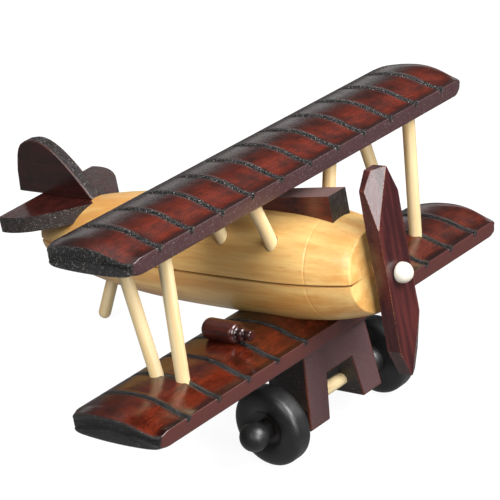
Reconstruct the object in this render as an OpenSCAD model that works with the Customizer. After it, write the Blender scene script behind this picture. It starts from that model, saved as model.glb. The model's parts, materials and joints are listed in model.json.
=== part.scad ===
// Wooden biplane model: a turned body between two ribbed wings, on two wheels and a tail skid.
// The pieces are drawn in the plane's own frame, nose along +X, port along +Y and up along +Z,
// with zero at the middle of the upper wing's lower front edge. The last step stands the plane
// on its wheels and skid, nose up, over the middle of its own shadow. Sizes are millimetres.

/* [Stance] */
// Nose-up angle of the wings when the plane rests on its wheels and skid
sit_angle = 14.3; // [12:0.1:16]

/* [Wings] */
// Span of the upper wing
upper_span = 187.6; // [170:0.2:200]
// Front-to-back size of the upper wing
upper_chord = 43.3; // [38:0.1:48]
// Span of the lower wing
lower_span = 198.8; // [180:0.2:210]
// Front-to-back size of the lower wing
lower_chord = 44.4; // [40:0.1:48]
// How far the lower wing's front edge stands ahead of the upper wing's
lower_lead = 1.4; // [0:0.1:4]
// Drop from the upper wing's underside to the lower wing's underside
lower_drop = 60.2; // [58:0.1:64]
// Height of the flat front and back edges of a wing
wing_edge = 6.4; // [5:0.1:8]
// Rise of the arched top above its front and back edges
wing_camber = 4.5; // [3:0.1:6]
// How far the underside's front edge is set back from the front face's top
wing_set_back = 1.1; // [0:0.1:2]
// How far a wing's tips bow out between their corners
tip_bow = 1.6; // [0.5:0.1:3]
// Grooves across the upper wing
upper_grooves = 11; // [5:2:11]
// Grooves across each half of the lower wing
lower_grooves = 5; // [2:1:5]
// Distance between two neighbouring grooves
groove_pitch = 15.7; // [12:0.1:16]
// Distance from the lower wing's tip to its first groove
tip_panel = 16.2; // [10:0.1:18]
// Width of a groove
groove_w = 1.2; // [0.8:0.1:2]
// Depth of a groove
groove_depth = 1.3; // [0.8:0.1:2]

/* [Body] */
// Distance from the upper wing's front edge forward to the flat nose
nose_x = 22.5; // [18:0.5:26]
// Length of the turned body
body_len = 164.8; // [150:0.2:175]
// Largest radius of the body
body_r = 21.3; // [19:0.1:22]
// Radius of the flat nose
nose_r = 15.8; // [14:0.1:17]
// Radius of the flat tail end
tail_r = 9.4; // [8:0.1:11]
// Distance from the nose back to the thickest place
body_peak = 42.5; // [35:0.5:55]
// Drop from the upper wing's underside to the body's axis at the nose
body_drop = 32; // [31:0.1:33]
// Angle by which the body's tail droops below the wings' line
body_tilt = 0.9; // [0:0.1:2]
// Width of the saw line along each side of the body
kerf_w = 0.8; // [0.4:0.1:1.4]
// Depth of the saw line
kerf_depth = 1.3; // [0.6:0.1:2]

/* [Cockpit block] */
// Length of the block on the body's back
cockpit_len = 42; // [35:1:46]
// Width of the block
cockpit_w = 9.6; // [8:0.2:14]
// Height of the block's top above zero at its front end
cockpit_top = -3.8; // [-5:0.1:-2]
// Angle by which the block's top falls towards the tail
cockpit_fall = 6.4; // [3:0.1:8]
// Where the block's front face stands
cockpit_front = 10; // [7:0.5:12]

/* [Struts] */
// Radius of every strut and of the tail skid
strut_r = 2.5; // [2:0.1:3]
// How deep a strut is glued into a wing or the body
strut_seat = 4; // [2:0.5:5]
// Gap around a cabane strut in its drilled hole
hole_gap = 0.25; // [0.05:0.05:0.4]

/* [Tail] */
// Thickness of the fin
fin_t = 5.4; // [4:0.1:7]
// Thickness of the tailplane
tailplane_t = 6.3; // [5:0.1:7]
// Drop from zero to the tailplane's top
tailplane_drop = 18; // [17:0.1:19]
// Half the span of the tailplane
tailplane_half = 28.2; // [26:0.1:32]
// Angle by which the tailplane sits askew, its port tip further back
tailplane_turn = 3.2; // [0:0.1:4]
// Angle by which the tail skid leans back
skid_lean = 30; // [20:1:40]

/* [Undercarriage] */
// Front-to-back size of the undercarriage block
gear_depth = 18.6; // [16:0.1:22]
// Height of the block under the lower wing
gear_height = 30.4; // [28:0.1:32]
// Radius of a wheel
wheel_r = 15.1; // [14:0.1:17]
// Width of a wheel's rim
wheel_w = 9.4; // [8:0.1:11]
// Distance from the middle of the plane to the middle of a wheel's rim
wheel_y = 31.5; // [30:0.1:34]
// Radius of the axle
axle_r = 2.5; // [2:0.1:3]
// Radial clearance of a wheel on the axle, and of the propeller on its shaft
running_gap = 0.06; // [0.02:0.01:0.1]
// Radius of the ball at the end of the axle
ball_r = 5.5; // [5:0.1:6]

/* [Propeller] */
// Half the length of the propeller
blade_len = 38.4; // [34:0.1:40]
// Thickness of the propeller
blade_t = 5.9; // [5:0.1:7]
// Gap between the nose and the back of the propeller
prop_gap = 3.9; // [2:0.1:5]
// Radius of the shaft's thin end, on which the propeller turns
journal_r = 2; // [1.5:0.1:2.4]
// Radius of the domed cap in front of the propeller
cap_r = 3.8; // [3.4:0.1:4.4]

/* [Guns] */
// Radius of a gun's barrel jacket
gun_r = 4.1; // [3:0.1:5]
// Length of a gun
gun_len = 22.3; // [20:0.1:26]
// Distance from the middle of the plane to each gun
gun_y = 36.4; // [32:0.1:48]
// Depth of the flat under a gun, where it is glued to the wing
gun_flat = 0.8; // [0.4:0.1:1.5]

/* [Hidden] */
$fn = 64;

PORT = 1;
STARBOARD = -1;

// A point on a curve that leaves a towards b and arrives at d from c
function bend(a, b, c, d, t) = a * pow(1 - t, 3) + b * 3 * t * pow(1 - t, 2)
  + c * 3 * t * t * (1 - t) + d * pow(t, 3);

// A wing's top line: a short flat lip in front, a quick rise and a long arch to the back edge.
// Each share is a part of the chord.
lip_share = 0.17;
rise_share = 0.24;
peak_share = 0.52;
back_share = 0.78;
fall_share = 0.93;
// The arch's height over the back edge where the fall to it begins, as a part of the camber
fall_rise = 0.55;
curve_steps = 14;
wing_top = wing_edge + wing_camber;
function top_line(chord) = concat(
  [for (i = [0:curve_steps])
    bend([0, wing_edge], [-lip_share * chord, wing_edge], [-rise_share * chord, wing_top],
         [-peak_share * chord, wing_top], i / curve_steps)],
  [for (i = [1:curve_steps])
    bend([-peak_share * chord, wing_top], [-back_share * chord, wing_top],
         [-fall_share * chord, wing_edge + fall_rise * wing_camber], [-chord, wing_edge],
         i / curve_steps)]);

// Radius of the body at a distance behind the nose: it swells to body_r and tapers to the tail
nose_power = 2.5;
tail_power = 3.5;
function body_radius(s) = s < body_peak
  ? body_r - (body_r - nose_r) * pow((body_peak - s) / body_peak, nose_power)
  : body_r - (body_r - tail_r) * pow((s - body_peak) / (body_len - body_peak), tail_power);

// Places worked out from the driving sizes
axle_x = -12.5;
axle_z = -84.2;
ball_y = 41.4;
ground_z = -axle_x * sin(sit_angle) - axle_z * cos(sit_angle) + wheel_r;
tail_x = nose_x - body_len;
tailplane_z = -tailplane_drop - tailplane_t;
turn_x = -130;
gear_front = -3.9;
gear_top_half = 17.7;
gear_foot_half = 21.2;
arch_top_half = 7.2;
arch_foot_half = 10;
arch_height = 17.3;
// How deep the shaft is glued in the nose, how far it goes in under the cap, counted from the
// propeller's front, and the propeller's end play on each side
shaft_seat = 14;
cap_socket = 2.4;
end_play = 0.3;
gun_flat_z = wing_top - lower_drop;
gun_z = gun_flat_z + gun_r - gun_flat;
gun_back = -30.8;

// The fin's aft foot, and the plane's ends along the ground: that foot and the lower blade's tip
fin_aft = -156.8;
stern_x = -148.56;
bow_x = 49.23;
middle_x = (stern_x + bow_x) / 2;

// Stands the plane on the ground, over the middle of its own length
module stand() {
  translate([-middle_x, 0, ground_z])
    rotate([0, -sit_angle, 0])
      children();
}

// The body's own frame: +X along its axis, zero at the nose
module on_body_axis() {
  translate([nose_x, 0, -body_drop])
    rotate([0, -body_tilt, 0])
      children();
}

// A round rod between two points
module rod(a, b, r) {
  d = b - a;
  translate(a)
    rotate([0, acos(d[2] / norm(d)), atan2(d[1], d[0])])
      cylinder(h = norm(d), r = r);
}

// ---- body ----

// The turned outline, less a depth all round, spun about the body's axis
module body_blank(less) {
  steps = 26;
  outline = [for (i = [0:steps]) let (s = body_len * i / steps) [body_radius(s) - less, s]];
  rotate([0, -90, 0])
    rotate_extrude($fn = 96)
      polygon(concat([[0, 0]], outline, [[0, body_len]]));
}

// A saw line along both sides of the body and over the edge of the nose
module kerf() {
  difference() {
    translate([-body_len - 1, -body_r - 1, -kerf_w / 2])
      cube([body_len + 2, 2 * body_r + 2, kerf_w]);
    translate([-kerf_depth / 2, 0, 0])
      body_blank(kerf_depth);
    translate([-kerf_depth, -nose_r + 3, -kerf_w])
      cube([2 * kerf_depth, 2 * nose_r - 6, 2 * kerf_w]);
  }
}

// The seat sawn in the body's back for the tailplane, with a sloping front wall
module tailplane_seat() {
  rotate([90, 0, 0])
    translate([0, 0, -body_r])
      linear_extrude(height = 2 * body_r)
        polygon([[-111, -10], [-118, tailplane_z], [tail_x - 2, tailplane_z], [tail_x - 2, -10]]);
}

module fuselage() {
  color("burlywood")
    stand()
      difference() {
        on_body_axis()
          difference() {
            body_blank(0);
            kerf();
            translate([-shaft_seat, 0, 0])
              rotate([0, 90, 0])
                cylinder(h = shaft_seat + 1, r = strut_r);
          }
        tailplane_seat();
        for (side = [PORT, STARBOARD])
          for (x = cabane_x)
            rod(cabane_foot(x, side), cabane_head(x, side), strut_r + hole_gap);
        skid_rod();
        wing_dowel_rods();
        fin_dowel_rod();
        cockpit_dowel_rod();
      }
}

// A tapered block, hollowed underneath to sit on the turned body
module cockpit_block() {
  block_foot = -15;
  color("saddlebrown")
    stand()
      difference() {
        translate([cockpit_front, 0, cockpit_top])
          rotate([90, 0, 0])
            translate([0, 0, -cockpit_w / 2])
              linear_extrude(height = cockpit_w)
                polygon([[0, 0], [0, block_foot], [-cockpit_len, block_foot],
                         [-cockpit_len, -cockpit_len * tan(cockpit_fall)]]);
        on_body_axis()
          body_blank(0);
        cockpit_dowel_rod();
      }
}

// The hidden dowel that holds the block on the body
module cockpit_dowel_rod() {
  dowel_r = 2;
  rod([-4, 0, -22], [-4, 0, -9], dowel_r);
}

module cockpit_dowel() {
  color("wheat")
    stand()
      cockpit_dowel_rod();
}

// ---- wings ----

// A wing's side outline under its top line; the front and back edges lean in to the underside
module wing_profile(chord) {
  polygon(concat(top_line(chord), [[-chord + wing_set_back / 2, 0], [-wing_set_back, 0]]));
}

// A wing's plan: a long strip whose tips bow out a little
module wing_plan(chord, span) {
  bow_r = (chord * chord / 4 + tip_bow * tip_bow) / (2 * tip_bow);
  intersection() {
    translate([-chord, -span / 2])
      square([chord, span]);
    translate([-chord / 2, span / 2 - bow_r])
      circle(r = bow_r, $fn = 720);
    translate([-chord / 2, bow_r - span / 2])
      circle(r = bow_r, $fn = 720);
  }
}

// One groove, cut to an even depth under the top line
module groove(chord) {
  above = 3 * wing_edge;
  translate([0, groove_w / 2, 0])
    rotate([90, 0, 0])
      linear_extrude(height = groove_w)
        translate([0, -groove_depth])
          polygon(concat([[2, above], [2, wing_edge]], top_line(chord),
                         [[-chord - 2, wing_edge], [-chord - 2, above]]));
}

module wing(chord, span, groove_places) {
  difference() {
    intersection() {
      translate([0, span / 2, 0])
        rotate([90, 0, 0])
          linear_extrude(height = span)
            wing_profile(chord);
      linear_extrude(height = 3 * wing_edge)
        wing_plan(chord, span);
    }
    for (y = groove_places)
      translate([0, y, 0])
        groove(chord);
  }
}

upper_places = [for (i = [0:upper_grooves - 1]) (i - (upper_grooves - 1) / 2) * groove_pitch];
lower_places = [for (side = [PORT, STARBOARD]) for (i = [0:lower_grooves - 1])
  side * (lower_span / 2 - tip_panel - i * groove_pitch)];

module upper_wing() {
  color("maroon")
    stand()
      difference() {
        wing(upper_chord, upper_span, upper_places);
        all_strut_rods();
      }
}

module lower_wing() {
  color("maroon")
    stand()
      difference() {
        translate([lower_lead, 0, -lower_drop])
          wing(lower_chord, lower_span, lower_places);
        on_body_axis()
          body_blank(0);
        all_strut_rods();
        wing_dowel_rods();
        gear_dowel_rods();
        gun_peg_rods();
      }
}

// Two hidden dowels hold the lower wing to the body's belly
module wing_dowel_rods() {
  dowel_r = 3;
  for (x = [-11, -33])
    rod([x, 0, -57], [x, 0, -46], dowel_r);
}

module wing_dowels() {
  color("wheat")
    stand()
      wing_dowel_rods();
}

// ---- struts ----

// Foot and head of each outer strut, where its axis enters the two wings
front_strut = [[-15, 67.3, -50], [-9.8, 68.6, 0]];
rear_strut = [[-26.7, 68.1, -50], [-35, 66.8, 0]];

// A strut's axis, carried on into both wings and mirrored for the starboard side
function strut_line(ends, side, seat) = let (d = (ends[1] - ends[0]) / norm(ends[1] - ends[0]))
  [for (p = [ends[0] - d * seat, ends[1] + d * seat]) [p[0], p[1] * side, p[2]]];

module strut_rod(ends, side) {
  line = strut_line(ends, side, strut_seat);
  rod(line[0], line[1], strut_r);
}

// Cabane struts splay outwards from the body's shoulders to the upper wing
cabane_x = [-10.5, -34.5];
cabane_slope = 0.33;
cabane_y0 = 22.4;
cabane_deep = -26;
function cabane_point(x, z, side) = [x, side * (cabane_y0 + cabane_slope * z), z];
function cabane_foot(x, side) = cabane_point(x, cabane_deep, side);
function cabane_head(x, side) = cabane_point(x, strut_seat, side);

module all_strut_rods() {
  for (side = [PORT, STARBOARD]) {
    strut_rod(front_strut, side);
    strut_rod(rear_strut, side);
    for (x = cabane_x)
      rod(cabane_foot(x, side), cabane_head(x, side), strut_r);
  }
}

module outer_strut(ends, side) {
  color("wheat")
    stand()
      strut_rod(ends, side);
}

module cabane(x, side) {
  color("wheat")
    stand()
      rod(cabane_foot(x, side), cabane_head(x, side), strut_r);
}

module strut_front_port() { outer_strut(front_strut, PORT); }
module strut_front_starboard() { outer_strut(front_strut, STARBOARD); }
module strut_rear_port() { outer_strut(rear_strut, PORT); }
module strut_rear_starboard() { outer_strut(rear_strut, STARBOARD); }
module cabane_front_port() { cabane(cabane_x[0], PORT); }
module cabane_front_starboard() { cabane(cabane_x[0], STARBOARD); }
module cabane_rear_port() { cabane(cabane_x[1], PORT); }
module cabane_rear_starboard() { cabane(cabane_x[1], STARBOARD); }

// ---- tail ----

// A round-topped fin with a long bulging front edge, overhanging the tailplane
module fin() {
  foot = [-115, -tailplane_drop];
  top = [-144, 4.4];
  heel = [fin_aft, -tailplane_drop];
  front = [for (i = [0:12]) bend(foot, [-127, -2], [-135.5, 5.4], top, i / 12)];
  aft = [for (i = [1:6]) bend(top, [-153, 4], [-153.5, -2], [-155.6, -9], i / 6)];
  color("#3a1a12")
    stand()
      difference() {
        translate([0, fin_t / 2, 0])
          rotate([90, 0, 0])
            linear_extrude(height = fin_t)
              polygon(concat(front, aft, [heel]));
        fin_dowel_rod();
      }
}

// A swept tailplane with round tips, glued on a few degrees askew
module tailplane() {
  tip_share = 0.69;
  port_shift = 0.8;
  corner = [-144, tailplane_half - 0.4];
  root = [-111, 5.6];
  edge = [for (i = [0:curve_steps])
    bend(corner, [-132, tailplane_half + 1.6], [-122.5, tip_share * tailplane_half], root,
         i / curve_steps)];
  mirrored = [for (i = [curve_steps:-1:0]) [edge[i][0], -edge[i][1]]];
  color("#3a1a12")
    stand()
      difference() {
        translate([0, 0, tailplane_z])
          linear_extrude(height = tailplane_t)
            translate([turn_x, port_shift])
              rotate(tailplane_turn)
                translate([-turn_x, 0])
                  polygon(concat(edge, mirrored));
        difference() {
          on_body_axis()
            body_blank(0);
          tailplane_seat();
        }
        fin_dowel_rod();
      }
}

// The hidden dowel that goes through the tailplane from the fin into the body
module fin_dowel_rod() {
  dowel_r = 1.5;
  rod([-131, 0, -32], [-131, 0, -10], dowel_r);
}

module fin_dowel() {
  color("wheat")
    stand()
      fin_dowel_rod();
}

// The skid leaves the body's belly and leans back until its round tip meets the ground
skid_top = [-112.6, 0, -46.5];
skid_top_height = ground_z + skid_top[0] * sin(sit_angle) + skid_top[2] * cos(sit_angle);
skid_len = (skid_top_height - strut_r) / cos(skid_lean - sit_angle);
skid_end = skid_top - skid_len * [sin(skid_lean), 0, cos(skid_lean)];

module skid_rod() {
  rod(skid_top, skid_end, strut_r);
}

module tail_skid() {
  tip = [for (a = [0:10:90]) [strut_r * cos(a), -strut_r * sin(a)]];
  color("wheat")
    stand()
      translate(skid_end)
        rotate([0, skid_lean, 0])
          rotate_extrude()
            polygon(concat(tip, [[0, skid_len], [strut_r, skid_len]]));
}

// ---- undercarriage ----

// A block with splayed legs and an arch between them
module gear_block() {
  foot = -gear_height;
  arch_top = foot + arch_height;
  color("#5a2018")
    stand()
      difference() {
        translate([gear_front - gear_depth, 0, -lower_drop])
          rotate([90, 0, 90])
            linear_extrude(height = gear_depth)
              polygon([[-gear_top_half, 0], [-gear_foot_half, foot], [-arch_foot_half, foot],
                       [-arch_top_half, arch_top], [arch_top_half, arch_top],
                       [arch_foot_half, foot], [gear_foot_half, foot], [gear_top_half, 0]]);
        axle_rod();
        gear_dowel_rods();
      }
}

// Two hidden dowels hold the undercarriage block to the lower wing
module gear_dowel_rods() {
  dowel_x = -13.5;
  dowel_y = 12;
  for (side = [PORT, STARBOARD])
    rod([dowel_x, side * dowel_y, -66], [dowel_x, side * dowel_y, -56], strut_r);
}

module gear_dowels() {
  color("wheat")
    stand()
      gear_dowel_rods();
}

module axle_rod() {
  rod([axle_x, -ball_y, axle_z], [axle_x, ball_y, axle_z], axle_r);
}

module axle() {
  color("wheat")
    stand()
      axle_rod();
}

// A turned wheel: round tread, dished outer face, and a hub boss towards the leg
module wheel(side) {
  edge = 2.2;
  half = wheel_w / 2;
  boss_r = 6;
  boss_end = 21.7 - wheel_y;
  dish_r = 6.8;
  dish_depth = 1.9;
  bore = axle_r + running_gap;
  tread = [for (a = [0:15:90]) [wheel_r - edge + edge * sin(a), -half + edge - edge * cos(a)]];
  tread_out = [for (a = [0:15:90]) [wheel_r - edge + edge * cos(a), half - edge + edge * sin(a)]];
  color("#1c1c1c")
    stand()
      translate([axle_x, side * wheel_y, axle_z])
        rotate([-side * 90, 0, 0])
          rotate_extrude($fn = 96)
            polygon(concat([[bore, boss_end], [boss_r, boss_end], [boss_r, -half]],
                           tread, tread_out,
                           [[dish_r, half], [dish_r - 1, half - dish_depth],
                            [bore, half - dish_depth]]));
}

module wheel_port() { wheel(PORT); }
module wheel_starboard() { wheel(STARBOARD); }

// A ball with a short neck, glued on the end of the axle to keep the wheel on
module axle_ball(side) {
  neck_r = 3.8;
  neck_end = 34.8;
  color("#1c1c1c")
    stand()
      difference() {
        translate([axle_x, 0, axle_z])
          rotate([-side * 90, 0, 0]) {
            translate([0, 0, ball_y])
              sphere(r = ball_r, $fn = 96);
            translate([0, 0, neck_end])
              cylinder(h = ball_y - neck_end, r = neck_r);
          }
        axle_rod();
      }
}

module axle_ball_port() { axle_ball(PORT); }
module axle_ball_starboard() { axle_ball(STARBOARD); }

// ---- propeller ----

// One half of the propeller's outline, from the starboard side of the hub over the tip to port
half_blade = [[-6.7, 0], [-6.9, 15], [-6.5, blade_len - 6.2], [-2, blade_len],
              [3.4, blade_len], [7.2, blade_len - 10.4], [6.7, 0]];

// A flat facet pares the front of each blade away towards one edge
module blade_facet() {
  translate([-6.7, 17.8, blade_t])
    rotate([0, 31.6, 154.7])
      translate([-30, -30, 0])
        cube([60, 60, 20]);
}

module propeller() {
  color("#5a1f18")
    stand()
      on_body_axis()
        translate([prop_gap, 0, 0])
          rotate([90, 0, 90])
            difference() {
              linear_extrude(height = blade_t)
                polygon(concat(half_blade, [for (p = half_blade) -p]));
              blade_facet();
              rotate([0, 0, 180])
                blade_facet();
              translate([0, 0, -1])
                cylinder(h = blade_t + 2, r = journal_r + running_gap);
            }
}

// A shouldered shaft, glued in the nose, with a thin end that carries the propeller
module propeller_shaft() {
  color("wheat")
    stand()
      on_body_axis()
        rotate([0, 90, 0]) {
          translate([0, 0, -shaft_seat])
            cylinder(h = shaft_seat + prop_gap - end_play, r = strut_r);
          translate([0, 0, -shaft_seat])
            cylinder(h = shaft_seat + prop_gap + blade_t + cap_socket, r = journal_r);
        }
}

// A round white cap, glued on the shaft's end, keeps the propeller on
module spinner_cap() {
  skirt = 1.2;
  color("ivory")
    stand()
      on_body_axis()
        translate([prop_gap + blade_t + end_play, 0, 0])
          rotate([0, 90, 0])
            difference() {
              rotate_extrude($fn = 96)
                polygon(concat([[0, 0], [cap_r - 0.3, 0]],
                               [for (a = [0:9:90]) [cap_r * cos(a), skirt + cap_r * sin(a)]]));
              translate([0, 0, -1])
                cylinder(h = cap_socket - end_play + 1, r = journal_r);
            }
}

// ---- guns ----

// A stubby gun: round-backed jacket, neck, collar and muzzle, lying along the lower wing
module gun(side) {
  jacket = 15.6;
  back = 2.5;
  round_back = [for (a = [0:15:90]) [gun_r - back + back * sin(a), back - back * cos(a)]];
  color("#3c1512")
    stand()
      difference() {
        translate([gun_back, side * gun_y, gun_z])
          rotate([0, 90, 0])
            rotate_extrude()
              polygon(concat([[0, 0]], round_back,
                             [[gun_r, jacket - 1], [gun_r - 1, jacket], [1.7, jacket + 0.3],
                              [1.7, jacket + 1], [2.6, jacket + 1.5], [2.6, jacket + 3],
                              [1.5, jacket + 3.5], [1.5, jacket + 4.2], [2, jacket + 4.7],
                              [2, gun_len - 0.5], [1.5, gun_len], [0, gun_len]]));
        translate([gun_back - 1, side * gun_y - gun_r, gun_flat_z - gun_r])
          cube([gun_len + 2, 2 * gun_r, gun_r]);
        gun_peg_rods();
      }
}

module gun_port() { gun(PORT); }
module gun_starboard() { gun(STARBOARD); }

// A hidden peg holds each gun to the lower wing
module gun_peg_rods() {
  peg_r = 1.25;
  peg_x = gun_back + 8;
  for (side = [PORT, STARBOARD])
    rod([peg_x, side * gun_y, gun_z - gun_r - 4], [peg_x, side * gun_y, gun_z], peg_r);
}

module gun_pegs() {
  color("wheat")
    stand()
      gun_peg_rods();
}

fuselage();
upper_wing();
lower_wing();
cockpit_block();
strut_front_port();
strut_front_starboard();
strut_rear_port();
strut_rear_starboard();
cabane_front_port();
cabane_front_starboard();
cabane_rear_port();
cabane_rear_starboard();
fin();
tailplane();
tail_skid();
gear_block();
axle();
wheel_port();
wheel_starboard();
axle_ball_port();
axle_ball_starboard();
propeller();
propeller_shaft();
spinner_cap();
gun_port();
gun_starboard();
wing_dowels();
gear_dowels();
fin_dowel();
cockpit_dowel();
gun_pegs();
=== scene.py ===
"""The looks of a stained wooden biplane model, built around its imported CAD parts."""

import json
import logging
import math
from dataclasses import dataclass, field
from enum import Enum
from typing import Callable

import bmesh
import bpy
import numpy as np
from bpy.types import Material, Mesh, NodeSocket, NodeTree, Object
from mathutils import Matrix, Vector

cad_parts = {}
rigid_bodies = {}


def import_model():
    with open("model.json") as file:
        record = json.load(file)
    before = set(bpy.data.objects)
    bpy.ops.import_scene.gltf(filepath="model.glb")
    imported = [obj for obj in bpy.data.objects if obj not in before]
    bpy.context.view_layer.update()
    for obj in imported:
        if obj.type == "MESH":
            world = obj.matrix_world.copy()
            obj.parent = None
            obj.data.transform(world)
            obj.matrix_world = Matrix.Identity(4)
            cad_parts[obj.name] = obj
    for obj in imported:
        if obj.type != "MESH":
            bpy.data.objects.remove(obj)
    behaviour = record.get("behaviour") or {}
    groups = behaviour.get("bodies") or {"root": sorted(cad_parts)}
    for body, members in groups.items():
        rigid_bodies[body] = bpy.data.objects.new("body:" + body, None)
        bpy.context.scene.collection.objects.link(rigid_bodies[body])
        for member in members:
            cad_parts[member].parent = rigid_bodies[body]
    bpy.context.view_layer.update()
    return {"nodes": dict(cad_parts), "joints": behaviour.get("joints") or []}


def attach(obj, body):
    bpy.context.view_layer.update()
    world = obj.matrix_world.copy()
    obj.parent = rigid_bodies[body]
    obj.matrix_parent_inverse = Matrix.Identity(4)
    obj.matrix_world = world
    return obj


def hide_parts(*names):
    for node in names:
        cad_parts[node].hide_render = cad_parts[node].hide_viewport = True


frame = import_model()
MM = 0.001
PORT, STARBOARD = 1, -1
# Nose-up angle of the plane as it stands, and the axle's place in the plane's own frame
SIT_ANGLE, AXLE_X, AXLE_Z = 14.3, -12.5, -84.2
# The dowels' radius; the cabane struts' places along the plane, how far out they meet the
# upper wing, and how far they splay for each millimetre of height
ROD = 2.5
CABANE_X, CABANE_Y, CABANE_SPLAY = (-10.5, -34.5), 22.4, 0.33
# Radius of a turned outline's ends, which stand for a point on the axis
POINT = 0.01
log = logging.getLogger("biplane")


class Pattern(Enum):
    """Where a finish's pattern takes its places from."""

    ALONG_GRAIN = "the piece's own grain attribute, in millimetres along its fibres"
    IN_PLACE = "the object's coordinates, for a CAD piece kept as it is"


class Slot(Enum):
    """The record's material slots."""

    STAINED = "stained_wood"
    TURNED = "turned_wood"
    DOWEL = "dowel_wood"
    BLACK = "black_wood"
    WHITE = "white_wood"


class Cloud(Enum):
    """The noises of a finish: waves a millimetre, finer layers and those layers' weight."""

    BLOTCH = (0.16, 3.0, 0.5)
    WANDER = (0.22, 2.0, 0.5)
    PATCH = (0.35, 4.0, 0.65)
    # Fine noise that places the painted glints
    GLINTS = (1.5, 2.0, 0.8)
    BRUSH = (1.9, 3.0, 0.7)
    GRIT = (2.3, 4.0, 0.7)


# ---------------------------------------------------------------- frames


@dataclass(frozen=True)
class OwnFrame:
    """A frame in millimetres, drawn level, and its way to the row frame in metres.

    Args:
        lean: nose-up angle of its X axis in the row frame, in radians.
        origin: its zero in the row frame, in metres.
    """

    lean: float
    origin: Vector

    def matrix(self) -> Matrix:
        """The matrix that carries its millimetres to the row frame's metres."""
        turn = Matrix.Rotation(-self.lean, 4, "Y")
        return Matrix.Translation(self.origin) @ turn @ Matrix.Scale(MM, 4)


def plane_frame() -> OwnFrame:
    """The plane's own frame, placed by the wheels' joint.

    Returns:
        The frame with zero at the middle of the upper wing's lower front edge.
    """
    hub = next(j for j in frame["joints"] if j["name"] == "wheel_port_spin")["pos_m"]
    lean = math.radians(SIT_ANGLE)
    axle = Matrix.Rotation(-lean, 3, "Y") @ Vector((AXLE_X, 0.0, AXLE_Z)) * MM
    return OwnFrame(lean, Vector((hub[0], 0.0, hub[2])) - axle)


def body_frame() -> OwnFrame:
    """The turned body's frame: zero at the nose, +X forward along its axis."""
    spin = next(j for j in frame["joints"] if j["name"] == "propeller_spin")
    return OwnFrame(math.asin(spin["axis"][2]), Vector(spin["pos_m"]))


PLANE = plane_frame()
BODY = body_frame()


# ---------------------------------------------------------------- nodes and finishes


def linear(code: str) -> tuple[float, float, float, float]:
    """An sRGB hex colour as linear light.

    Args:
        code: six hex digits after a hash.

    Returns:
        Red, green, blue and an alpha of 1.
    """
    parts = [int(code[i:i + 2], 16) / 255 for i in (1, 3, 5)]
    lit = [c / 12.92 if c <= 0.04045 else ((c + 0.055) / 1.055) ** 2.4 for c in parts]
    return (lit[0], lit[1], lit[2], 1.0)


def add(tree: NodeTree, kind: str, settings: dict | None = None,
        inputs: dict | None = None, out: int | str = 0) -> NodeSocket | None:
    """Adds one node with its settings and links.

    Args:
        tree: the tree that gets the node.
        kind: the node's type name.
        settings: attribute name to value.
        inputs: socket name or index to a value, or to another node's output.
        out: which output to hand back.

    Returns:
        That output, or None for a node with no outputs.
    """
    made = tree.nodes.new(kind)
    for key, value in (settings or {}).items():
        setattr(made, key, value)
    for key, value in (inputs or {}).items():
        if isinstance(value, NodeSocket):
            tree.links.new(value, made.inputs[key])
        else:
            made.inputs[key].default_value = value
    return made.outputs[out] if len(made.outputs) else None


def maths(tree: NodeTree, operation: str, *terms: object, clamp: bool = False) -> NodeSocket:
    """One step of arithmetic on numbers and other nodes' outputs."""
    return add(tree, "ShaderNodeMath", {"operation": operation, "use_clamp": clamp},
               dict(enumerate(terms)))


def ramp(tree: NodeTree, value: NodeSocket, low: object, high: object,
         start: float = 0.0, end: float = 1.0, soft: bool = False) -> NodeSocket:
    """Goes from start to end as value goes from low to high.

    Args:
        tree: the tree that gets the node.
        value: what it follows.
        low: the value it starts at.
        high: the value it ends at.
        start: its result up to low.
        end: its result from high on.
        soft: whether it eases in and out.

    Returns:
        The node's output.
    """
    return add(tree, "ShaderNodeMapRange",
               {"interpolation_type": "SMOOTHSTEP" if soft else "LINEAR"},
               dict(enumerate((value, low, high, start, end))))


def noise(tree: NodeTree, places: NodeSocket, cloud: Cloud) -> NodeSocket:
    """Noise at places in millimetres, about 0.5 on average."""
    scale, detail, rough = cloud.value
    return add(tree, "ShaderNodeTexNoise", inputs={
        "Vector": places, "Scale": scale, "Detail": detail, "Roughness": rough})


def blend(tree: NodeTree, share: NodeSocket,
          base: NodeSocket | str, over: str) -> NodeSocket:
    """Lays a hex colour over a base by the given share."""
    base = linear(base) if isinstance(base, str) else base
    return add(tree, "ShaderNodeMix", {"data_type": "RGBA"},
               {0: share, 6: base, 7: linear(over)}, 2)


def bump(tree: NodeTree, height: NodeSocket, strength: float,
         distance: float, **under: NodeSocket) -> NodeSocket:
    """Bumps of up to distance metres, on top of the ones given as Normal."""
    return add(tree, "ShaderNodeBump", inputs={
        "Strength": strength, "Distance": distance, "Height": height, **under})


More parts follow.
